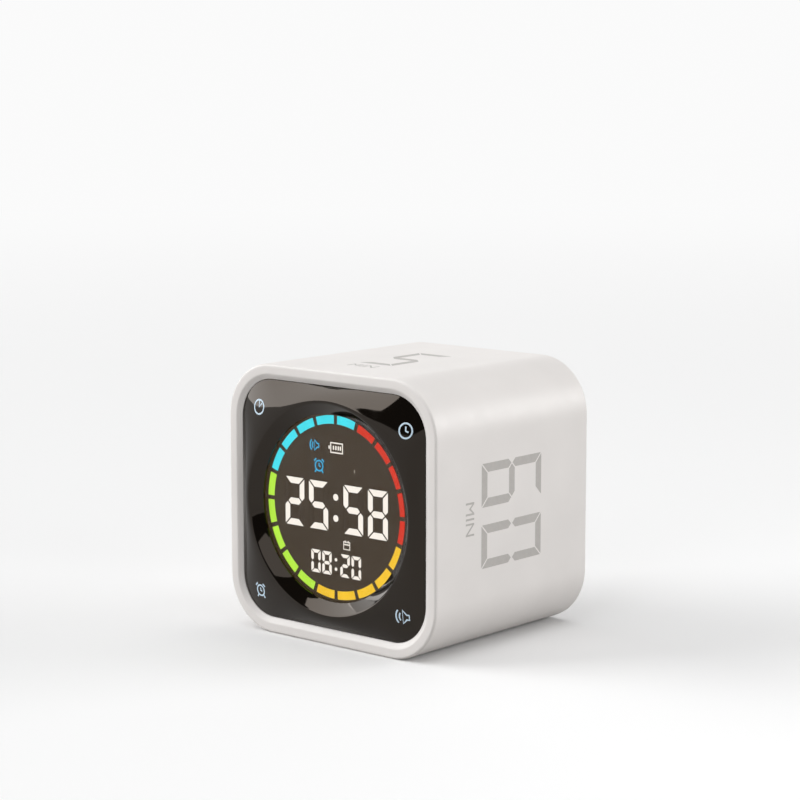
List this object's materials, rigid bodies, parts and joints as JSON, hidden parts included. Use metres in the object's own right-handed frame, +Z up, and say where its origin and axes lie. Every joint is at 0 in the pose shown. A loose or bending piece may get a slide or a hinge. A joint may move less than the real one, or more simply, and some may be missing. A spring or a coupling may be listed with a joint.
{
  "type": "cube timer",
  "caption": "Square cube timer with rounded corners, a round digital display under a glossy black bezel, set by turning it onto a side.",
  "frame": {"origin": "middle of the bounding box's base, on the surface that the cube stands on", "axes": "+Z up, the display faces -Y, +X is the right side seen from the front"},
  "size_m": [0.06, 0.0534, 0.06],
  "materials": {
    "shell_white": "satin white moulding",
    "bezel_black": "polished black",
    "window_smoke": "polished smoked clear",
    "mask_dark": "dull dark brown grey",
    "light_cyan": "lit",
    "light_red": "lit",
    "light_amber": "lit",
    "light_green": "lit",
    "light_white": "lit",
    "light_dark": "unlit",
    "board_green": "solder mask",
    "led_package": "moulded",
    "touch_rubber": "conductive rubber",
    "screw_steel": "plated",
    "socket_ivory": "moulded",
    "ribbon_pale": "film",
    "chip_black": "moulded",
    "foam_black": "foam",
    "battery_foil": "foil pouch",
    "lead_red": "insulation",
    "speaker_black": "black",
    "cone_paper": "pressed",
    "magnet_steel": "plated",
    "usb_steel": "plated",
    "tongue_black": "moulded",
    "knob_grey": "satin"
  },
  "bodies": {
    "timer": {"housing": "shell_white", "front_bezel": "bezel_black", "bezel_tape": "foam_black", "display_window": "window_smoke", "display_mask": "mask_dark", "ring_red_bars": "light_red", "ring_amber_bars": "light_amber", "ring_green_bars": "light_green", "ring_cyan_bars": "light_cyan", "time_digits_lit": "light_white", "time_digits_dark": "light_dark", "clock_digits_lit": "light_white", "clock_digits_dark": "light_dark", "display_board": "board_green", "display_leds": "led_package", "touch_rings": "touch_rubber", "display_screws": "screw_steel", "display_socket": "socket_ivory", "ribbon_cable": "ribbon_pale", "main_socket": "socket_ivory", "main_board": "board_green", "board_chips": "chip_black", "board_screws": "screw_steel", "battery_foam": "foam_black", "battery_cell": "battery_foil", "battery_plug": "socket_ivory", "battery_leads": "lead_red", "speaker_frame": "speaker_black", "speaker_cone": "cone_paper", "speaker_magnet": "magnet_steel", "speaker_gasket": "foam_black", "speaker_leads": "lead_red", "usb_shell": "usb_steel", "usb_tongue": "tongue_black", "switch_case": "usb_steel", "rear_cover": "shell_white", "cover_screws": "screw_steel"},
    "power_slider": {"switch_lever": "tongue_black", "power_knob": "knob_grey"}
  },
  "joints": [
    {"name": "power_slide", "type": "slide", "parent": "timer", "child": "power_slider", "axis": [-1, 0, 0], "range_m": [0, 0.002]}
  ]
}
